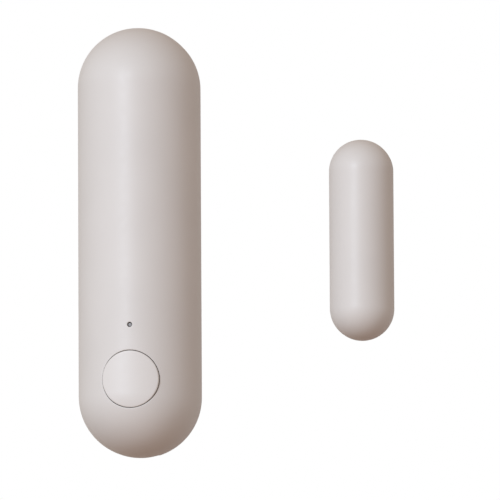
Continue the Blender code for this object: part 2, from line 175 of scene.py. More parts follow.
def arc(start, end, corner, steps=4):
    """Points of a round corner from start to end, both tangent to lines through the corner."""
    points = []
    for i in range(steps + 1):
        angle = math.pi / 2 * i / steps
        along, across = 1 - math.sin(angle), 1 - math.cos(angle)
        point = (c + (s - c) * along + (e - c) * across for s, e, c in zip(start, end, corner))
        points.append(tuple(point))
    return points


def rounded(path, radius, steps=3):
    """A polyline in 2-D or 3-D with its corners rounded, each by less than half of its arms."""
    points = [path[0]]
    for before, corner, after in zip(path, path[1:], path[2:]):
        arms = [math.dist(corner, before), math.dist(corner, after)]
        cut = min(radius, arms[0] * 0.45, arms[1] * 0.45)
        ends = [
            tuple(c + (o - c) * cut / arm for c, o in zip(corner, other))
            for other, arm in zip((before, after), arms)
        ]
        points += arc(ends[0], ends[1], corner, steps)
    points.append(path[-1])
    return points


def outline_stations(half):
    """(direction x, direction z, middle z) of each station round a stadium, anticlockwise."""
    stations = []
    for sign in (1, -1):
        for i in range(END_STEPS):
            angle = math.pi * i / END_STEPS + (0 if sign == 1 else math.pi)
            stations.append((math.cos(angle), math.sin(angle), sign * half))
        for i in range(SIDE_STEPS):
            share = i / SIDE_STEPS
            stations.append((-float(sign), 0.0, sign * half * (1 - 2 * share)))
    return stations


def outline_loop(bm, x, stations, radius, depth):
    """A loop of new points round a stadium whose middle line is at x."""
    return [bm.verts.new((x + radius * dx, depth, z + radius * dz)) for dx, dz, z in stations]


def swept(name, section, half, x, body, *replaced):
    """A (radius, y) section swept round a stadium. Its ends, at radius 0, close on each other."""
    bm = bmesh.new()
    stations = outline_stations(half)
    ladder(bm, [outline_loop(bm, x, stations, radius, y) for radius, y in section])
    return finish(name, bm, body, *replaced)


def turned(name, section, centre, axis, body, *replaced, steps=48):
    """A (radius, height) section turned about an axis through the centre, "Y" or "Z"."""
    bm = bmesh.new()
    loops = []
    for radius, height in section:
        loop = []
        for i in range(steps):
            angle = 2 * math.pi * i / steps
            across, up = radius * math.cos(angle), radius * math.sin(angle)
            offset = (across, height, up) if axis == "Y" else (across, up, height)
            loop.append(bm.verts.new(Vector(centre) + Vector(offset)))
        loops.append(loop)
    ladder(bm, loops)
    return finish(name, bm, body, *replaced)


def block(name, x, y, z, body, *replaced, edge=0.2, segments=3, lengthwise=None):
    """A block with rounded edges: all of them, or those along the axis "lengthwise" only."""
    bm = bmesh.new()
    bmesh.ops.create_cube(bm, size=1.0)
    low, high = Vector((x[0], y[0], z[0])), Vector((x[1], y[1], z[1]))
    for vert in bm.verts:
        vert.co = Vector(h if c > 0 else l for c, l, h in zip(vert.co, low, high))
    edges = list(bm.edges)
    if lengthwise is not None:
        edges = [e for e in edges if abs((e.verts[0].co - e.verts[1].co)[lengthwise]) > 1e-6]
    bmesh.ops.bevel(bm, geom=edges, offset=edge, segments=segments, profile=0.5, affect="EDGES")
    return finish(name, bm, body, *replaced)


def apply_boolean(obj, operation, *others):
    """Joins or cuts with other objects at once, and removes them."""
    for other in others:
        step = obj.modifiers.new("step", "BOOLEAN")
        step.operation = operation
        step.solver = "EXACT"
        step.object = other
        bpy.context.view_layer.update()
        evaluated = obj.evaluated_get(bpy.context.evaluated_depsgraph_get())
        mesh = bpy.data.meshes.new_from_object(evaluated)
        obj.modifiers.remove(step)
        old = obj.data
        obj.data = mesh
        bpy.data.meshes.remove(old)
        bpy.data.objects.remove(other)
    obj.data.shade_smooth()
    obj.data.set_sharp_from_angle(angle=SHARP)
    return obj


def strip(name, path, across, thickness, body, *replaced):
    """Thin sheet metal along a path of (x, y, z) points, as wide as the vector "across"."""
    bm = bmesh.new()
    across = Vector(across)
    points = [Vector(p) for p in path]
    sides = []
    for i, point in enumerate(points):
        ahead = (points[min(i + 1, len(points) - 1)] - points[max(i - 1, 0)]).normalized()
        sides.append(across.cross(ahead).normalized() * thickness / 2)
    loops = []
    for point, side in zip(points, sides):
        places = (point - side, point - side + across, point + side + across, point + side)
        loops.append([bm.verts.new(place) for place in places])
    ladder(bm, loops)
    bm.faces.new(loops[0])
    bm.faces.new(loops[-1])
    return finish(name, bm, body, *replaced)


def tube(name, path, radius, body, *replaced, steps=12):
    """A round wire along a path. Its section turns as little as it can from point to point."""
    bm = bmesh.new()
    points = [Vector(p) for p in path]
    ahead = (points[1] - points[0]).normalized()
    side = ahead.orthogonal().normalized()
    loops = []
    for i, point in enumerate(points):
        turn = (points[min(i + 1, len(points) - 1)] - points[max(i - 1, 0)]).normalized()
        side = (side - turn * side.dot(turn)).normalized()
        other = turn.cross(side)
        loop = []
        for k in range(steps):
            angle = 2 * math.pi * k / steps
            offset = (side * math.cos(angle) + other * math.sin(angle)) * radius
            loop.append(bm.verts.new(point + offset))
        loops.append(loop)
    ladder(bm, loops)
    bm.faces.new(loops[0])
    bm.faces.new(loops[-1])
    return finish(name, bm, body, *replaced)


# ---------------------------------------------------------------- the pill covers


def crown_depth(pill, inset=0.0):
    """The crown's surface: Y as a function of x and z, for the outside or an inset of it."""
    radius, rise = pill.radius - inset, pill.depth - pill.side - inset

    def depth(x, z):
        beyond = max(0.0, abs(z) - pill.half)
        share = min(1.0, math.hypot(x - pill.x, beyond) / radius)
        return -pill.side - rise * math.sqrt(1 - share * share)

    return depth


def crown_sheet(bm, pill, stations, inset, holes):
    """The crown, with round holes left open: (x, z, radius, steps) each.

    Points are spread evenly round the crown's curve, joined by a Delaunay net in the unrolled
    plane. It returns the loop round the crown's foot and the loop round each hole.
    """
    radius = pill.radius - inset
    depth = crown_depth(pill, inset)

    def unrolled(x, z):
        """The place where a point of the front view comes to lie if the crown is laid flat."""
        core = max(-pill.half, min(pill.half, z))
        reach = math.hypot(x - pill.x, z - core)
        if reach < 1e-9:
            return Vector((x - pill.x, z))
        stretch = math.asin(min(1.0, reach / radius)) * radius / reach
        return Vector(((x - pill.x) * stretch, core + (z - core) * stretch))

    def clear(x, z):
        """Whether a point keeps off the rings of points that line the holes."""
        return all(math.hypot(x - hx, z - hz) > hr + 1.1 for hx, hz, hr, _ in holes)

    places, rings = [], []
    for level in range(1, CROWN_LEVELS + 1):
        reach = radius * math.sin(math.pi / 2 * level / CROWN_LEVELS)
        for dx, dz, z in stations:
            place = (pill.x + reach * dx, z + reach * dz)
            if level == CROWN_LEVELS or clear(*place):
                places.append(place)
    foot = list(range(len(places) - len(stations), len(places)))
    for i in range(SIDE_STEPS + 1):
        place = (pill.x, pill.half * (1 - 2 * i / SIDE_STEPS))
        if clear(*place):
            places.append(place)
    for hx, hz, hr, steps in holes:
        for room in (0.0, 0.3, 0.7):
            first = len(places)
            reach = hr + room
            for i in range(steps):
                angle = 2 * math.pi * i / steps
                places.append((hx + reach * math.cos(angle), hz + reach * math.sin(angle)))
            if room == 0.0:
                rings.append(list(range(first, first + steps)))

    fixed = []
    for loop in [foot] + rings:
        fixed += [(loop[i], loop[(i + 1) % len(loop)]) for i in range(len(loop))]
    flat = [unrolled(*place) for place in places]
    _, _, triangles, sources, _, _ = delaunay_2d_cdt(flat, fixed, [], 0, 1e-6)
    origins = [source[0] for source in sources]
    members = [set(loop) for loop in rings]
    verts = {}
    for i in set(origins):
        x, z = places[i]
        verts[i] = bm.verts.new((x, depth(x, z), z))
    for triangle in triangles:
        corner_ids = [origins[i] for i in triangle]
        fills_hole = any(loop.issuperset(corner_ids) for loop in members)
        if len(set(corner_ids)) == 3 and not fills_hole:
            bm.faces.new([verts[i] for i in corner_ids])
    return [verts[i] for i in foot], [[verts[i] for i in loop] for loop in rings]


def hole_through(bm, pill, hole, outer, inner):
    """Lines a hole from the outside's loop to the inside's, with a round edge and a collar."""
    outside, inside = crown_depth(pill), crown_depth(pill, pill.wall)

    def level(height):
        """The collar's depth, or the inside wall's where that reaches further in."""
        return lambda x, z: max(inside(x, z), height)

    soft = 0.12
    levels = []
    for i in range(1, 6):
        angle = math.pi / 2 * i / 5
        sink = hole.fillet * (1 - math.cos(angle))
        reach = hole.radius + hole.fillet * (1 - math.sin(angle))
        levels.append((reach, lambda x, z, s=sink: outside(x, z) + s))
    levels += [
        (hole.radius, hole.end - soft),
        (hole.radius + soft, level(hole.end)),
        (hole.collar - soft, level(hole.end)),
        (hole.collar, level(hole.end - soft)),
    ]
    loops = [ring(bm, (hole.x, hole.z), reach, depth, hole.steps) for reach, depth in levels]
    ladder(bm, [outer] + loops + [inner])


def boss(bm, pill, inner, centre):
    """A screw boss on the inside, with a root fillet and a blind pilot hole."""
    inside = crown_depth(pill, pill.wall)
    soft = 0.15
    loops = [inner]
    for i in range(1, 5):
        angle = math.pi / 2 * i / 4
        radius = BOSS_RADIUS + BOSS_ROOT * (1 - math.sin(angle))
        lift = BOSS_ROOT * (1 - math.cos(angle))
        loops.append(ring(bm, centre, radius, lambda x, z, s=lift: inside(x, z) + s, BOSS_STEPS))
    for radius, y in (
        (BOSS_RADIUS, BOSS_END - soft),
        (BOSS_RADIUS - soft, BOSS_END),
        (PILOT_RADIUS + soft, BOSS_END),
        (PILOT_RADIUS, BOSS_END - soft),
        (PILOT_RADIUS, PILOT_END),
    ):
        loops.append(ring(bm, centre, radius, y, BOSS_STEPS))
    ladder(bm, loops)
    close_loop(bm, loops[-1], (centre[0], PILOT_END - 0.3, centre[1]))


def cover(name, pill, body, holes, bosses, replaced):
    """A moulded cover: crown, side, rounded rim, inside wall, and its holes and bosses."""
    bm = bmesh.new()
    stations = outline_stations(pill.half)
    outer_holes = [(h.x, h.z, h.radius + h.fillet, h.steps) for h in holes]
    inner_holes = [(h.x, h.z, h.collar, h.steps) for h in holes]
    inner_holes += [(x, z, BOSS_RADIUS + BOSS_ROOT, BOSS_STEPS) for x, z in bosses]
    foot, outer_loops = crown_sheet(bm, pill, stations, 0.0, outer_holes)
    inner_foot, inner_loops = crown_sheet(bm, pill, stations, pill.wall, inner_holes)

    radius, inside = pill.radius, pill.radius - pill.wall
    side = [(radius, -pill.side), (radius, pill.rim), (inside, pill.rim), (inside, -pill.side)]
    rim = rounded(side, 0.22, 4)
    loops = [foot]
    loops += [outline_loop(bm, pill.x, stations, r, y) for r, y in rim[1:-1]]
    loops.append(inner_foot)
    ladder(bm, loops)

    for hole, outer, inner in zip(holes, outer_loops, inner_loops):
        hole_through(bm, pill, hole, outer, inner)
    for place, inner in zip(bosses, inner_loops[len(holes):]):
        boss(bm, pill, inner, place)
    return finish(name, bm, body, replaced)


def make_sensor_cover():
    """The large cover, with the button's hole, the indicator's hole and a pry slot."""
    holes = [
        Hole(
            BUTTON.x, BUTTON.z, BUTTON_HOLE, BUTTON_COLLAR, BUTTON_COLLAR_END,
            fillet=0.14, steps=BUTTON_STEPS,
        ),
        Hole(
            INDICATOR.x, INDICATOR.z, INDICATOR_HOLE, INDICATOR_COLLAR, INDICATOR_COLLAR_END,
            fillet=0.07, steps=40,
        ),
    ]
    bosses = [(place.x, place.z) for place in SCREWS.values()]
    shell = cover("sensor_cover", SENSOR, "sensor", holes, bosses, "housing_shell")
    foot = -SENSOR.half - SENSOR.radius
    slot_width, slot_depth, slot_top = 7.0, 1.4, -40.0
    slot = block(
        "slot_cutter", (-slot_width / 2, slot_width / 2), (SENSOR.rim - slot_depth, 1.0),
        (foot - 2.0, slot_top), None, edge=0.3,
    )
    apply_boolean(shell, "DIFFERENCE", slot)
    return shell


def make_magnet_cover():
    """The small, plain cover."""
    shell = cover("magnet_cover", MAGNET, "magnet_cover", [], [], "magnet_shell")
    return shell


def make_button():
    """A round cap whose face is flatter than the crown from side to side."""
    bm = bmesh.new()
    low, high = corners("button_cap")
    radius, edge, sink, flatten = BUTTON_RADIUS, 0.20, 0.05, 0.60
    outside = crown_depth(SENSOR)
    place = (BUTTON.x, BUTTON.z)

    def face(x, z):
        """The crown's own depth on the middle line, with its fall to the sides reduced."""
        ridge = outside(0.0, z)
        return max(-SENSOR.depth, ridge + (outside(x, z) - ridge) * flatten) + sink

    loops = []
    rings = 22
    for i in range(1, rings + 1):
        loops.append(ring(bm, place, (radius - edge) * i / rings, face, BUTTON_STEPS))
    for i in range(1, 7):
        angle = math.pi / 2 * i / 6
        drop = edge * (1 - math.cos(angle))
        reach = radius - edge + edge * math.sin(angle)
        loops.append(ring(bm, place, reach, lambda x, z, d=drop: face(x, z) + d, BUTTON_STEPS))
    flange, front, back = (high.x - low.x) / 2, -15.3, high.y
    hollow, roof, post = 4.2, -17.4, 1.2
    for reach, y in (
        (radius, front - 0.1),
        (radius + 0.1, front),
        (flange - 0.12, front),
        (flange, front + 0.12),
        (flange, back - 0.12),
        (flange - 0.12, back),
        (hollow + 0.15, back),
        (hollow, back - 0.15),
        (hollow, roof + 0.2),
        (hollow - 0.2, roof),
        (post + 0.2, roof),
        (post, roof + 0.2),
        (post, back - 0.15),
        (post - 0.15, back),
    ):
        loops.append(ring(bm, place, reach, y, BUTTON_STEPS))
    ladder(bm, loops)
    close_loop(bm, loops[0], (place[0], face(*place), place[1]))
    close_loop(bm, loops[-1], (place[0], back, place[1]))
    cap = finish("button", bm, "button", "button_cap")
    return cap


def make_light_pipe():
    """The smoked window behind the indicator hole, a little below the cover's face."""
    low, high = corners("light_pipe")
    tip, foot, wide, narrow = low.y + 0.15, high.y, 1.2, 0.38
    section = [(0.0, foot), (wide, foot), (wide, -15.6), (narrow, -16.0)]
    section += [(narrow, tip + 0.12), (0.2, tip), (0.0, tip)]
    centre = (INDICATOR.x, 0.0, INDICATOR.z)
    pipe = turned("indicator_window", rounded(section, 0.12), centre, "Y", "sensor", "light_pipe")
    return pipe


# ---------------------------------------------------------------- plates and pads


def bore(name, centre, radius, y, chamfer):
    """A cutter for a round hole along Y, which also eases both of its edges."""
    low, high = y
    spare = 0.3  # how far it stands out of the material
    section = [
        (0.0, low - spare),
        (radius + chamfer + spare, low - spare),
        (radius, low + chamfer),
        (radius, high - chamfer),
        (radius + chamfer + spare, high + spare),
        (0.0, high + spare),
    ]
    return turned(name, section, (centre[0], 0.0, centre[1]), "Y", None)


def make_mounting_plate():
    """The sensor's back plate: snap rim, ridges, rails, the tamper switch's post, screw holes."""
    low, high = corners("mounting_plate")
    radius, back = SENSOR.radius - SENSOR.wall - 0.15, high.y
    front, rim_front, rim_outer, rim_inner = -2.25, low.y, 10.35, 9.35
    section = [
        (0.0, front),
        (rim_inner, front),
        (rim_inner, rim_front),
        (rim_outer, rim_front),
        (rim_outer, front),
        (radius, front),
        (radius, back),
        (0.0, back),
    ]
    plate = swept("back_plate", rounded(section, 0.18), SENSOR.half, 0.0, "mount", "mounting_plate")
    added = []
    for side in (1, -1):
        for level in (18.0, -18.0):
            ridge = [(0.0, 3.5), (0.25, 3.25), (0.25, -3.25), (0.0, -3.5)]
            where = (side * (rim_outer - 0.1), -4.1, level)
            added.append(turned("ridge", ridge, where, "Z", None, steps=24))
        across = sorted((side * 4.9, side * 5.6))
        added.append(block("rail", across, (-2.75, -2.0), (-15.0, 27.0), None))
    added.append(block("cross_rail", (-8.6, 8.6), (-2.7, -2.0), (-31.2, -30.5), None))
    post = rounded([(0.0, -3.1), (1.6, -3.1), (1.6, -2.0), (0.0, -2.0)], 0.2)
    added.append(turned("post", post, (TAMPER.x, 0.0, TAMPER.z), "Y", None))
    apply_boolean(plate, "UNION", *added)
    cuts = []
    for sign in (1, -1):
        sink = [(0.0, -1.2), (1.8, -1.2), (3.3, front - 0.1), (4.0, -3.2), (0.0, -3.2)]
        hole = [(0.0, 0.5), (1.8, 0.5), (1.8, -2.0), (0.0, -2.0)]
        centre = (0.0, 0.0, sign * PLATE_HOLE_Z)
        cuts.append(turned("sink", sink[::-1], centre, "Y", None, steps=64))
        cuts.append(turned("hole", hole, centre, "Y", None, steps=64))
    apply_boolean(plate, "DIFFERENCE", *cuts)
    return plate


def make_pad(name, node, half, x, body, radius, holes):
    """Foam tape: a plain slab whose cut edge bulges a little."""
    low, high = corners(node)
    section = [
        (0.0, low.y),
        (radius - 0.12, low.y),
        (radius, low.y * 0.72),
        (radius - 0.05, low.y * 0.5),
        (radius, low.y * 0.28),
        (radius - 0.12, high.y),
        (0.0, high.y),
    ]
    pad = swept(name, section, half, x, body, node)
    cut = [(0.0, 1.0), (3.5, 1.0), (3.5, -2.0), (0.0, -2.0)]
    nudge = 0.003  # keeps the cutter's points off the pad's own
    cutters = [turned("cut", cut, (x + nudge, 0.0, z), "Y", None, steps=62) for z in holes]
    apply_boolean(pad, "DIFFERENCE", *cutters)
    return pad


def make_magnet_base():
    """The magnet's back plate: snap rim, end stops, ribs at its sides and a rest under it."""
    low, high = corners("magnet_base")
    radius, back, front = (high.x - low.x) / 2, high.y, -1.85
    rim_front, rim_outer, rim_inner = -4.0, 4.95, 4.2
    section = [
        (0.0, front),
        (rim_inner, front),
        (rim_inner, rim_front),
        (rim_outer, rim_front),
        (rim_outer, front),
        (radius, front),
        (radius, back),
        (0.0, back),
    ]
    section = rounded(section, 0.16)
    x = MAGNET.x
    base = swept("magnet_back_plate", section, MAGNET.half, x, "magnet_unit", "magnet_base")
    sunk = front + 0.3
    added = []
    for end in (1, -1):
        span = sorted((end * 13.3, end * 14.3))
        added.append(block("stop", (x - 2.4, x + 2.4), (low.y, sunk), span, None, edge=0.15))
        for level in (-7.5, 7.5):
            across = sorted((x + end * 2.85, x + end * 3.6))
            rise = (level - 2.0, level + 2.0)
            added.append(block("rib", across, (-5.0, sunk), rise, None, edge=0.15))
    added.append(block("rest", (x - 0.6, x + 0.6), (-2.85, sunk), (-11.0, 11.0), None, edge=0.15))
    apply_boolean(base, "UNION", *added)
    return base


def make_bar_magnet():
    """The nickel-plated magnet."""
    low, high = corners("bar_magnet")
    bar = block("magnet_bar", *zip(low, high), "magnet_unit", "bar_magnet", edge=0.35, segments=4)
    return bar


def make_magnet_foam():
    """The foam strip that presses the magnet down."""
    low, high = corners("magnet_foam")
    pad = block("magnet_cushion", *zip(low, high), "magnet_cover", "magnet_foam", segments=4)
    return pad


# ---------------------------------------------------------------- inside the sensor


def make_chassis():
    """The tray behind the board: the battery's bay and end walls, holes, grooves and signs."""
    low, high = corners("chassis")
    radius, inner = high.x, high.x - 1.1
    skin, back, rim = -6.2, high.y, -10.7
    section = [(0.0, skin), (inner, skin), (inner, rim), (radius, rim), (radius, back), (0.0, back)]
    tray = swept("battery_tray", rounded(section, 0.2), SENSOR.half, 0.0, "sensor", "chassis")
    bay_low, bay_high = 2.3, 34.3
    bay = block(
        "bay", (-inner, inner), (-8.0, 0.0), (bay_low, bay_high), None,
        edge=0.9, segments=6, lengthwise=1,
    )
    apply_boolean(tray, "DIFFERENCE", bay)
    walls = []
    for half, front, span in (
        (7.2, -13.9, (1.3, bay_low - 0.02)),
        (5.0, -13.0, (bay_high + 0.02, 35.1)),
    ):
        walls.append(block("bay_wall", (-half, half), (front, back - 0.2), span, None, edge=0.15))
    apply_boolean(tray, "UNION", *walls)
    cuts = []
    for place in SCREWS.values():
        cuts.append(bore("screw_hole", (place.x, place.z), 1.2, (skin, back), 0.1))
    cuts.append(bore("tamper_hole", (TAMPER.x, TAMPER.z), 1.4, (skin, back), 0.25))
    for z in (-28.6, -19.4, -7.6):
        span = (z - 0.35, z + 0.35)
        cuts.append(block("groove", (-6.6, 6.6), (back - 0.35, back + 1), span, None, edge=0.15))
    cuts += polarity_marks(back)
    apply_boolean(tray, "DIFFERENCE", *cuts)
    return tray


def polarity_marks(back):
    """Sunk plus and minus signs, above and below the battery's bay."""
    arm, half = 1.1, 0.24
    marks = []
    for x, z, upright in ((0.0, -0.4, False), (4.6, 36.3, False), (4.6, 36.3, True)):
        across, up = (half, arm) if upright else (arm, half)
        # The plus sign's two bars differ in depth, so that none of their faces coincide.
        depth = (back - 0.32, back + 0.9) if upright else (back - 0.3, back + 1.0)
        span, rise = (x - across, x + across), (z - up, z + up)
        marks.append(block("mark", span, depth, rise, None, edge=0.08))
    return marks


def make_battery():
    """A plain cell. It also returns where its sleeve and its band start and end, in Z."""
    low, high = corners("battery")
    radius = (high.x - low.x) / 2
    top = high.z
    centre = (middle("battery").x, middle("battery").y, 0.0)
    nub = 3.3
    can = [
        (0.0, top),
        (nub - 0.25, top),
        (nub, top - 0.3),
        (nub, top - 1.15),
        (nub + 0.5, top - 1.35),
        (4.9, top - 1.35),
        (5.2, top - 1.15),
        (radius - 1.1, top - 1.15),
        (radius - 0.5, top - 0.9),
        (radius - 0.1, top - 1.15),
        (radius, top - 1.6),
        (radius, top - 2.6),
        (radius, low.z + 1.2),
        (radius, low.z + 0.6),
        (radius - 0.25, low.z + 0.15),
        (radius - 0.7, low.z),
        (5.6, low.z),
        (5.4, low.z + 0.15),
        (0.0, low.z + 0.15),
    ]
    cell = turned("cell", rounded(can, 0.15), centre, "Z", "sensor", "battery", steps=96)
    return cell, (low.z + 0.75, top - 2.5), (top - 6.5, top - 5.3)


def make_screw(place, centre):
    """A pan-head screw with a thread and a cross recess, its head towards the wall."""
    head_back, head_front, tip = -3.8, -4.9, -11.0
    head, shank, root, pitch = 1.9, 0.95, 0.78, 0.4
    section = [
        (0.0, head_back),
        (1.1, head_back - 0.04),
        (1.6, head_back - 0.25),
        (head, head_back - 0.6),
        (head, head_front + 0.1),
        (head - 0.1, head_front),
        (1.0, head_front),
        (shank, head_front - 0.1),
    ]
    y = head_front - 0.5
    while y > tip + 1.2:
        section += [(shank, y), (root, y - pitch / 2)]
        y -= pitch
    section += [(0.8, tip + 0.9), (0.3, tip), (0.0, tip)]
    axis = (centre.x, 0.0, centre.z)
    screw = turned(f"screw_{place}", section, axis, "Y", "sensor", f"chassis_screw_{place}")
    depth = (head_back - 0.7, head_back + 1.0)
    cross = []
    for across, up in ((1.1, 0.17), (0.17, 1.1)):
        span, rise = (centre.x - across, centre.x + across), (centre.z - up, centre.z + up)
        cross.append(block("bar", span, depth, rise, None, edge=0.06))
    apply_boolean(screw, "DIFFERENCE", *cross)
    return screw


def make_positive_contact():
    """The sprung leaf over the battery's nub."""
    width, foot, touch = 5.0, 34.1, 33.25
    points = [(-6.9, foot), (-8.3, foot), (-9.8, touch)]
    points += [(-11.0, touch), (-12.5, foot), (-12.9, foot)]
    path = rounded([(-width / 2, y, z) for y, z in points], 0.7, 5)
    across = (width, 0.0, 0.0)
    leaf = strip("contact_leaf", path, across, SHEET_METAL, "sensor", "battery_contact_positive")
    return leaf


def make_link_strip():
    """The strip that brings the leaf's end down to the board, beside the battery."""
    points = [(-2.8, 33.9), (-6.6, 33.9), (-8.35, 32.2), (-8.35, -1.3)]
    path = rounded([(x, -12.3, z) for x, z in points], 0.5, 5)
    link = strip("contact_link", path, (0.0, 1.4, 0.0), SHEET_METAL, "sensor", "battery_link_strip")
    return link


def make_negative_contact():
    """The conical coil under the battery, and its leg to the board."""
    wire, turns, steps = 0.3, 2.5, 40
    wide, narrow, low, high = 3.0, 1.8, 2.8, 4.5
    centre_y = middle("battery").y
    leg = [(0.0, -12.5, 0.2), (0.0, -14.35, 0.5), (0.0, -14.35, 2.5), (0.0, -13.4, low)]
    path = rounded(leg, 0.5, 5)[:-1]
    count = round(turns * steps)
    for i in range(count + 1):
        share = i / count
        angle = -math.pi / 2 + 2 * math.pi * turns * share
        radius = wide + (narrow - wide) * share
        z = low + (high - low) * share
        path.append((radius * math.cos(angle), centre_y + radius * math.sin(angle), z))
    coil = tube("contact_coil", path, wire, "sensor", "battery_contact_negative")
    return coil


# ---------------------------------------------------------------- materials


class Look:
    """A procedural material under construction, on a Principled shader."""

    def __init__(self, name, colour, roughness, metallic=0.0):
        self.material = bpy.data.materials.new(name)
        self.material.use_nodes = True
        self.tree = self.material.node_tree
        self.shader = self.tree.nodes["Principled BSDF"]
        self.shader.inputs["Base Color"].default_value = (*colour, 1.0)
        self.shader.inputs["Roughness"].default_value = roughness
        self.shader.inputs["Metallic"].default_value = metallic
        self.place = self.node("ShaderNodeTexCoord").outputs["Object"]
        self.colour = None
        self.base = colour

    def node(self, kind, **values):
        made = self.tree.nodes.new(kind)
        for key, value in values.items():
            setattr(made, key, value)
        return made

    def link(self, source, target):
        self.tree.links.new(source, target)

    def noise(self, scale, detail=2.0, roughness=0.5, stretch=None):
        """Noise whose scale is in features for each metre."""
        texture = self.node("ShaderNodeTexNoise")
        texture.inputs["Scale"].default_value = scale
        texture.inputs["Detail"].default_value = detail
        texture.inputs["Roughness"].default_value = roughness
        place = self.place
        if stretch:
            mapping = self.node("ShaderNodeMapping")
            mapping.inputs["Scale"].default_value = stretch
            self.link(place, mapping.inputs["Vector"])
            place = mapping.outputs["Vector"]
        self.link(place, texture.inputs["Vector"])
        return texture.outputs["Fac"]

    def spread(self, source, low, high, start=0.3, stop=0.7):
        """Maps a texture's middle range to values."""
        made = self.node("ShaderNodeMapRange")
        keys = ("From Min", "From Max", "To Min", "To Max")
        for key, value in zip(keys, (start, stop, low, high)):
            made.inputs[key].default_value = value
        self.link(source, made.inputs["Value"])
        return made.outputs["Result"]

    def tint(self, factor, colour):
        """Mixes a colour over what is there, where the factor is high."""
        mix = self.node("ShaderNodeMix", data_type="RGBA")
        self.link(factor, mix.inputs["Factor"])
        if self.colour is None:
            mix.inputs["A"].default_value = (*self.base, 1.0)
        else:
            self.link(self.colour, mix.inputs["A"])
        mix.inputs["B"].default_value = (*colour, 1.0)
        self.colour = mix.outputs["Result"]
        self.link(self.colour, self.shader.inputs["Base Color"])
        return self

    def rough(self, source, low, high):
        """Roughness that follows a texture."""
        self.link(self.spread(source, low, high), self.shader.inputs["Roughness"])
        return self

    def bump(self, source, height, strength=1.0):
        """Relief: height is in millimetres."""
        made = self.node("ShaderNodeBump")
        made.inputs["Strength"].default_value = strength
        made.inputs["Distance"].default_value = height * MM
        self.link(source, made.inputs["Height"])
        if self.shader.inputs["Normal"].is_linked:
            self.link(self.shader.inputs["Normal"].links[0].from_socket, made.inputs["Normal"])
        self.link(made.outputs["Normal"], self.shader.inputs["Normal"])
        return self


def shade(colour, factor):
    """A colour made darker or lighter by a factor."""
    return tuple(min(1.0, c * factor) for c in colour)


def moulded(name, colour, roughness, grain=0.012, mottle=0.03):
    """Moulded plastic: fine spark texture, faint colour drift, and sheen that varies a little."""
    look = Look(name, colour, roughness)
    drift = look.spread(look.noise(90.0, 3.0), 0.0, 1.0)
    look.tint(drift, shade(colour, 1.0 - mottle))
    speck = look.noise(5200.0, 2.0, 0.6)
    look.rough(look.noise(700.0, 4.0, 0.6), roughness - 0.04, roughness + 0.05)
    look.bump(speck, grain, 0.5)
    return look


def board_look():
    """Green solder mask over copper traces, with tinned pads."""
    look = Look("solder_mask", (0.012, 0.095, 0.045), 0.32)

    def cells(scale, feature):
        texture = look.node("ShaderNodeTexVoronoi", feature=feature)
        texture.inputs["Scale"].default_value = scale
        look.link(look.place, texture.inputs["Vector"])
        return texture.outputs["Distance"]

    traces = look.spread(cells(420.0, "DISTANCE_TO_EDGE"), 1.0, 0.0, 0.09, 0.13)
    look.tint(traces, (0.022, 0.17, 0.075))
    pads = look.spread(cells(620.0, "F1"), 1.0, 0.0, 0.17, 0.2)
    look.tint(pads, (0.62, 0.60, 0.55))
    look.link(pads, look.shader.inputs["Metallic"])
    look.rough(look.noise(900.0, 3.0), 0.26, 0.40)
    return look.bump(traces, 0.03, 0.6)


COVER = (0.80, 0.785, 0.775)


def make_materials():
    """Every look by its key."""
    looks = {}
    looks["cover"] = moulded("cover_plastic", COVER, 0.46)
    looks["button"] = moulded("button_plastic", shade(COVER, 1.03), 0.40, grain=0.008)
    looks["inner"] = moulded("inner_plastic", (0.60, 0.585, 0.565), 0.55, grain=0.02, mottle=0.05)

    foam = Look("tape_foam", (0.075, 0.078, 0.085), 0.92)
    cells = foam.noise(3200.0, 3.0, 0.7)
    foam.tint(foam.spread(cells, 0.0, 1.0, 0.4, 0.65), (0.15, 0.155, 0.165)).bump(cells, 0.12, 0.9)
    looks["foam"] = foam

    liner = Look("cushion_foam", (0.12, 0.12, 0.125), 0.95)
    pores = liner.noise(1900.0, 4.0, 0.75)
    liner.tint(liner.spread(pores, 0.0, 1.0, 0.42, 0.6), (0.26, 0.26, 0.27)).bump(pores, 0.2, 1.0)
    looks["cushion"] = liner

    looks["smoked"] = moulded("smoked_window", (0.40, 0.40, 0.41), 0.45, grain=0.002)
    looks["moulding"] = moulded("black_moulding", (0.022, 0.022, 0.024), 0.48, grain=0.02)
    looks["tantalum"] = moulded("capacitor_moulding", (0.52, 0.33, 0.06), 0.5, grain=0.02)
    looks["sleeve"] = moulded("cell_sleeve", (0.045, 0.075, 0.15), 0.32, grain=0.006)
    looks["band"] = moulded("cell_band", (0.42, 0.44, 0.47), 0.3, grain=0.004)

    resin = moulded("led_resin", (0.85, 0.80, 0.55), 0.28, grain=0.004)
    resin.shader.inputs["Transmission Weight"].default_value = 0.35
    looks["resin"] = resin
    glass = moulded("reed_glass", (0.80, 0.92, 0.84), 0.05, grain=0.0005)
    glass.shader.inputs["Transmission Weight"].default_value = 1.0
    glass.shader.inputs["IOR"].default_value = 1.5
    looks["glass"] = glass
    looks["board"] = board_look()

    for key, colour, roughness in (
        ("nickel", (0.66, 0.63, 0.57), 0.24),
        ("steel", (0.56, 0.55, 0.53), 0.34),
        ("zinc", (0.50, 0.51, 0.53), 0.36),
        ("blade", (0.55, 0.54, 0.52), 0.28),
    ):
        metal = Look(f"{key}_metal", colour, roughness, 1.0)
        brushed = metal.noise(2600.0, 3.0, 0.6, stretch=(1.0, 1.0, 0.08))
        metal.tint(metal.spread(metal.noise(400.0, 3.0), 0.0, 0.6), shade(colour, 0.82))
        metal.rough(brushed, roughness - 0.07, roughness + 0.12).bump(brushed, 0.004, 0.35)
        looks[key] = metal
    return looks


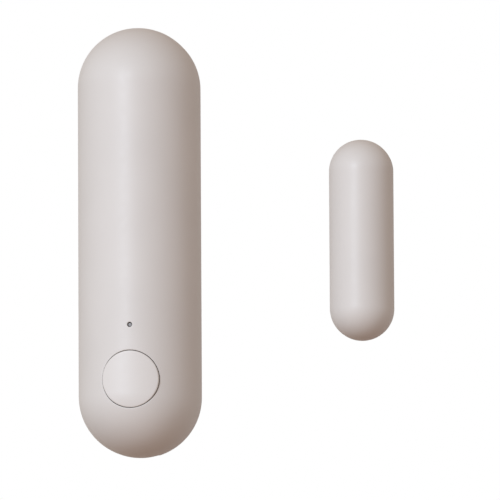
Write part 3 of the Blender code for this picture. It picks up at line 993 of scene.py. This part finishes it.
# ---------------------------------------------------------------- everything in its place


def dress(obj, look):
    """Gives an object one material, in place of whatever it had."""
    obj.data.materials.clear()
    obj.data.materials.append(look.material)


def paint(obj, look, chosen):
    """Gives a second material to the faces whose centre, in millimetres, passes a test."""
    obj.data.materials.append(look.material)
    index = len(obj.data.materials) - 1
    for face in obj.data.polygons:
        if chosen(face.center / MM):
            face.material_index = index


def dress_node(name, look, edge=0.0):
    """Gives a CAD node its material, and rounds its edges a little."""
    node = NODES[name]
    for slot in node.material_slots:
        slot.material = look.material
    if edge:
        node.modifiers.new("weld", "WELD").merge_threshold = 0.001 * MM
        bevel = node.modifiers.new("edges", "BEVEL")
        bevel.width = edge * MM
        bevel.segments = 3
        bevel.limit_method = "ANGLE"
        bevel.angle_limit = math.radians(40)
        bevel.harden_normals = True


LOOKS = make_materials()

dress(make_sensor_cover(), LOOKS["cover"])
dress(make_magnet_cover(), LOOKS["cover"])
dress(make_button(), LOOKS["button"])
dress(make_light_pipe(), LOOKS["smoked"])
dress(make_mounting_plate(), LOOKS["cover"])
dress(make_magnet_base(), LOOKS["cover"])
dress(make_chassis(), LOOKS["inner"])
for name, node, pill, body, radius, holes in (
    ("sensor_tape", "sensor_adhesive_pad", SENSOR, "mount", 10.0, (PLATE_HOLE_Z, -PLATE_HOLE_Z)),
    ("magnet_tape", "magnet_adhesive_pad", MAGNET, "magnet_unit", 4.9, ()),
):
    dress(make_pad(name, node, pill.half, pill.x, body, radius, holes), LOOKS["foam"])
dress(make_magnet_foam(), LOOKS["cushion"])
dress(make_bar_magnet(), LOOKS["nickel"])
for place, centre in SCREWS.items():
    dress(make_screw(place, centre), LOOKS["zinc"])
dress(make_positive_contact(), LOOKS["nickel"])
dress(make_negative_contact(), LOOKS["nickel"])
dress(make_link_strip(), LOOKS["nickel"])

battery, sleeve, band = make_battery()
dress(battery, LOOKS["steel"])
paint(battery, LOOKS["sleeve"], lambda place: sleeve[0] < place.z < sleeve[1])
paint(battery, LOOKS["band"], lambda place: band[0] < place.z < band[1])

for name, key, edge in (
    ("circuit_board", "board", 0.06),
    ("radio_board", "board", 0.04),
    ("radio_shield_can", "steel", 0.0),
    ("microcontroller", "moulding", 0.08),
    ("crystal", "nickel", 0.1),
    ("bulk_capacitor", "tantalum", 0.1),
    ("indicator_led", "resin", 0.05),
    ("reed_glass", "glass", 0.0),
    ("reed_blade_upper", "blade", 0.02),
    ("reed_blade_lower", "blade", 0.02),
    ("antenna", "nickel", 0.03),
    ("tact_switch_body", "moulding", 0.08),
    ("tact_switch_plunger", "moulding", 0.06),
    ("tamper_switch_body", "moulding", 0.08),
    ("tamper_plunger", "inner", 0.1),
):
    dress_node(name, LOOKS[key], edge)


# ---------------------------------------------------------------- stage, light and camera


# Light that reaches the object from each side of the room, in linear colour. Low down and behind
# it, the room is nearly dark, so both units' lower ends fall off into shade.
ROOM = {
    "left": (0.63, 0.595, 0.56),
    "right": (0.445, 0.40, 0.377),
    "above": (0.425, 0.32, 0.245),
    "below": (0.50, 0.36, 0.285),
    "below, behind": (0.11, 0.05, 0.025),
}
FLOOR_HEIGHT = -0.12  # metres

KEY_POWER = 8.65
KEY_COLOUR = (0.78, 0.88, 1.0)
KEY_AZIMUTH, KEY_ELEVATION, KEY_DISTANCE = -20.0, 16.0, 1.3
KEY_SIZE = (0.45, 0.55)

CAMERA_AZIMUTH, CAMERA_ELEVATION, CAMERA_DISTANCE = 5.96, -4.69, 1.118
CAMERA_ROLL = -0.31
CAMERA_TARGET = (21.60, 0.0, -1.44)
LENS = 406.0


def make_floor():
    """A plain pale floor. It throws no light at the object and isn't mirrored in it."""
    bm = bmesh.new()
    bmesh.ops.create_grid(bm, x_segments=1, y_segments=1, size=3.0)
    mesh = bpy.data.meshes.new("floor")
    bm.to_mesh(mesh)
    bm.free()
    floor = bpy.data.objects.new("floor", mesh)
    floor.location = (0.0, 0.0, FLOOR_HEIGHT)
    floor.visible_diffuse = False
    floor.visible_glossy = False
    floor.visible_shadow = False
    bpy.context.scene.collection.objects.link(floor)
    look = Look("floor_paint", (0.86, 0.86, 0.86), 0.8)
    look.rough(look.noise(40.0), 0.75, 0.85)
    look.shader.inputs["Emission Color"].default_value = (0.95, 0.97, 1.0, 1.0)
    look.shader.inputs["Emission Strength"].default_value = 0.50
    dress(floor, look)


def direction(azimuth, elevation):
    """The unit vector towards a place in front of the object: azimuth 0 is -Y, and 90 is +X."""
    azimuth, elevation = math.radians(azimuth), math.radians(elevation)
    level = math.cos(elevation)
    return Vector((math.sin(azimuth) * level, -math.cos(azimuth) * level, math.sin(elevation)))


def make_key_light():
    """One soft box, to the left and above the camera."""
    data = bpy.data.lights.new("key", "AREA")
    data.shape = "ELLIPSE"
    data.size, data.size_y = KEY_SIZE
    data.energy = KEY_POWER
    data.color = KEY_COLOUR
    lamp = bpy.data.objects.new("key", data)
    towards = direction(KEY_AZIMUTH, KEY_ELEVATION)
    lamp.location = Vector((0.02, 0.0, 0.0)) + towards * KEY_DISTANCE
    lamp.rotation_mode = "QUATERNION"
    lamp.rotation_quaternion = (-towards).to_track_quat("-Z", "Y")
    bpy.context.scene.collection.objects.link(lamp)


def make_world():
    """Soft room light, warm on the right, brown below and dark low down behind.

    The backdrop itself is white.
    """
    world = bpy.data.worlds.new("studio")
    bpy.context.scene.world = world
    world.use_nodes = True
    tree = world.node_tree
    tree.nodes.clear()
    new, link = tree.nodes.new, tree.links.new
    split = new("ShaderNodeSeparateXYZ")
    link(new("ShaderNodeTexCoord").outputs["Generated"], split.inputs["Vector"])

    def towards(axis, start, end):
        """0 before start and 1 after end, where both are sines of the angle towards an axis."""
        ramp = new("ShaderNodeMapRange")
        ramp.interpolation_type = "SMOOTHSTEP"
        ramp.inputs["From Min"].default_value = start
        ramp.inputs["From Max"].default_value = end
        link(split.outputs[axis], ramp.inputs["Value"])
        return ramp.outputs["Result"]

    def mix(factor, first, second):
        node = new("ShaderNodeMix")
        node.data_type = "RGBA"
        link(factor, node.inputs["Factor"])
        for key, value in (("A", first), ("B", second)):
            if isinstance(value, tuple):
                node.inputs[key].default_value = (*value, 1.0)
            else:
                link(value, node.inputs[key])
        return node.outputs["Result"]

    level = mix(towards("X", -0.5, 0.8), ROOM["left"], ROOM["right"])
    upper = mix(towards("Z", 0.0, 0.9), level, ROOM["above"])
    lower = mix(towards("Y", -0.4, 0.2), ROOM["below"], ROOM["below, behind"])
    room = mix(towards("Z", -0.1, -0.7), upper, lower)
    lit, seen = new("ShaderNodeBackground"), new("ShaderNodeBackground")
    either = new("ShaderNodeMixShader")
    link(room, lit.inputs["Color"])
    seen.inputs["Color"].default_value = (1.0, 1.0, 1.0, 1.0)
    link(new("ShaderNodeLightPath").outputs["Is Camera Ray"], either.inputs["Fac"])
    link(lit.outputs["Background"], either.inputs[1])
    link(seen.outputs["Background"], either.inputs[2])
    link(either.outputs["Shader"], new("ShaderNodeOutputWorld").inputs["Surface"])


def make_camera():
    """The eye stands a little to the right and below, far off, as with a long lens."""
    back = direction(CAMERA_AZIMUTH, CAMERA_ELEVATION)
    data = bpy.data.cameras.new("camera")
    data.lens = LENS
    data.sensor_width = 36.0
    data.clip_start, data.clip_end = 0.05, 20.0
    camera = bpy.data.objects.new("camera", data)
    camera.rotation_mode = "QUATERNION"
    level = (-back).to_track_quat("-Z", "Y")
    camera.rotation_quaternion = level @ Quaternion((0.0, 0.0, 1.0), math.radians(CAMERA_ROLL))
    camera.location = Vector(CAMERA_TARGET) * MM + back * CAMERA_DISTANCE
    bpy.context.scene.collection.objects.link(camera)
    bpy.context.scene.camera = camera


make_floor()
make_world()
make_key_light()
make_camera()
bpy.context.scene.view_settings.view_transform = "Standard"
